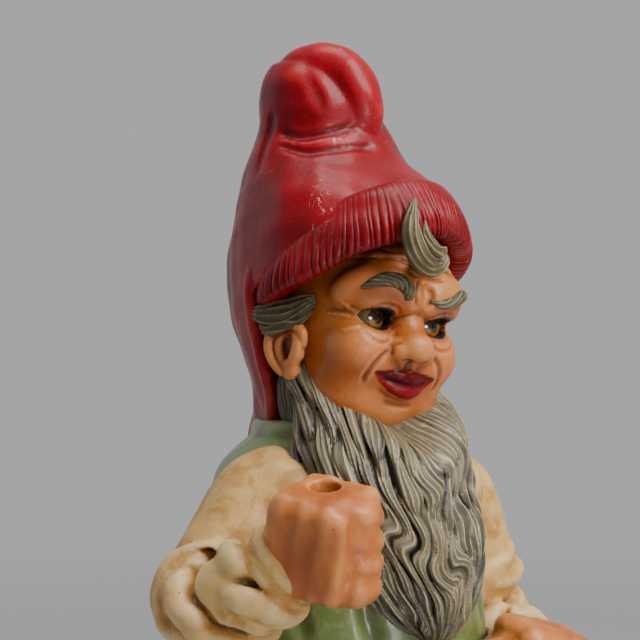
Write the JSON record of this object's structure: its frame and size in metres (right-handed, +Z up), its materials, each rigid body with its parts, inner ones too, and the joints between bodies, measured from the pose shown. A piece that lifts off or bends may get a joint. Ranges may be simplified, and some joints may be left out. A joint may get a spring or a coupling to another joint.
{
  "type": "garden gnome",
  "caption": "Standing painted terracotta garden gnome with a stocking cap, a full beard and a raised fist pierced for a tool handle, on a round plinth.",
  "frame": {"origin": "middle of the plinth's flat underside, where the gnome stands", "axes": "+Z up, the gnome faces -Y, its right hand is on the -X side"},
  "size_m": [0.2723, 0.2109, 0.6],
  "materials": {
    "cap_red": "varnished crimson paint on terracotta",
    "skin": "semi-gloss varnished flesh paint on terracotta",
    "hair_grey": "dry-brushed grey paint on terracotta",
    "waistcoat_green": "varnished sage green paint on terracotta",
    "shirt_cream": "stained cream paint on terracotta",
    "breeches_brown": "worn brown paint on terracotta",
    "boot_brown": "dark brown paint on terracotta",
    "belt_black": "black paint on terracotta",
    "buckle_gold": "bronze-gold paint on terracotta",
    "eye_glass": "opaque brown glass",
    "ground_green": "matt grass and earth paint on terracotta",
    "stump_brown": "matt bark paint on terracotta"
  },
  "bodies": {
    "root": {"plinth": "ground_green", "tree_stump": "stump_brown", "left_boot": "boot_brown", "right_boot": "boot_brown", "breeches": "breeches_brown", "torso": "waistcoat_green", "belt": "belt_black", "belt_buckle": "buckle_gold", "button_1": "buckle_gold", "button_2": "buckle_gold", "left_sleeve": "shirt_cream", "right_sleeve": "shirt_cream", "left_fist": "skin", "right_fist": "skin", "head": "skin", "left_eye": "eye_glass", "right_eye": "eye_glass", "left_eyebrow": "hair_grey", "right_eyebrow": "hair_grey", "left_temple_hair": "hair_grey", "right_temple_hair": "hair_grey", "left_neck_hair": "hair_grey", "right_neck_hair": "hair_grey", "beard": "hair_grey", "forelock": "hair_grey", "cap": "cap_red", "cap_tip": "cap_red", "cap_cuff": "cap_red"}
  },
  "joints": []
}
